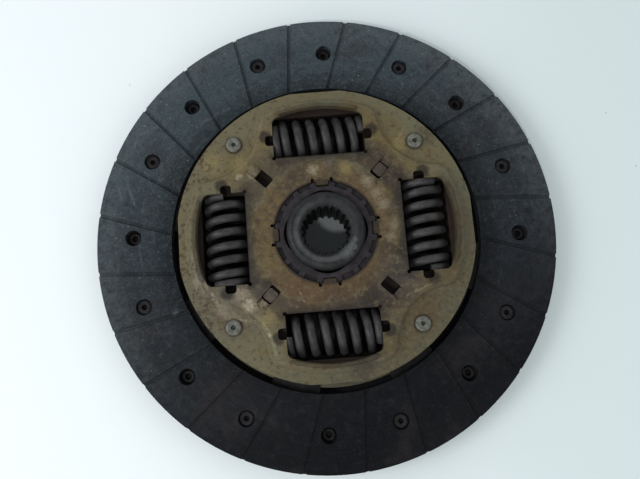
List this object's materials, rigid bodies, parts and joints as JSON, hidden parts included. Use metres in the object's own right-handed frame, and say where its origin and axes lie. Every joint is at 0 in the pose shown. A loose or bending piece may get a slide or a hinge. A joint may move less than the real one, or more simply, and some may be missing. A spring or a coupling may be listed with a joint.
{
  "type": "clutch disc",
  "caption": "Dry clutch driven disc: riveted grooved facings on a spring-damped splined hub, in its cover plate and drive plate.",
  "frame": {"origin": "on the hub's axis, at the flat end of the hub that faces the flywheel, which the disc lies on", "axes": "+Z along the hub's axis towards the gearbox side, where the cover plate is; the four damper springs stand on the X and Y axes"},
  "size_m": [0.215, 0.215, 0.028],
  "materials": {
    "friction_lining": "moulded friction compound, matt and glazed by use",
    "facing_rivet": "dull, dirty",
    "spring_sheet": "hardened sheet, dull",
    "plate_rivet": "dull",
    "plated_sheet": "yellow passivated zinc, stained",
    "pressed_ring": "dull",
    "forged_hub": "oiled dark steel, worn at the mouth",
    "spring_wire": "oil-tempered, dark",
    "bush_polymer": "moulded, matt",
    "washer_composite": "friction compound"
  },
  "bodies": {
    "hub": {"splined_hub": "forged_hub"},
    "disc": {"facing_front": "friction_lining", "facing_rear": "friction_lining", "facing_rivets_front": "facing_rivet", "facing_rivets_rear": "facing_rivet", "cushion_segment_1": "spring_sheet", "cushion_segment_2": "spring_sheet", "cushion_segment_3": "spring_sheet", "cushion_segment_4": "spring_sheet", "cushion_segment_5": "spring_sheet", "cushion_segment_6": "spring_sheet", "cushion_segment_7": "spring_sheet", "cushion_segment_8": "spring_sheet", "cone_spring": "spring_sheet", "segment_rivets": "plate_rivet", "stop_pins": "plate_rivet", "drive_plate": "plated_sheet", "cover_plate": "plated_sheet", "thrust_ring": "pressed_ring", "friction_bush": "bush_polymer", "rear_bush": "bush_polymer", "friction_washer_front": "washer_composite", "friction_washer_rear": "washer_composite"},
    "springs": {"damper_spring_1": "spring_wire", "damper_spring_2": "spring_wire", "damper_spring_3": "spring_wire", "damper_spring_4": "spring_wire"}
  },
  "joints": [
    {"name": "disc_twist", "type": "hinge", "parent": "hub", "child": "disc", "pos_m": [0, 0, 0.013], "axis": [0, 0, 1], "range_deg": [-6.2, 12.5], "stiffness_Nm_per_rad": 1100, "deforming": ["damper_spring_1", "damper_spring_2", "damper_spring_3", "damper_spring_4"]},
    {"name": "spring_shift", "type": "hinge", "parent": "hub", "child": "springs", "pos_m": [0, 0, 0.013], "axis": [0, 0, 1], "range_deg": [-3.2, 6.4]}
  ],
  "couplings": [
    {"joint": "spring_shift", "follows": "disc_twist", "ratio": 0.5}
  ]
}
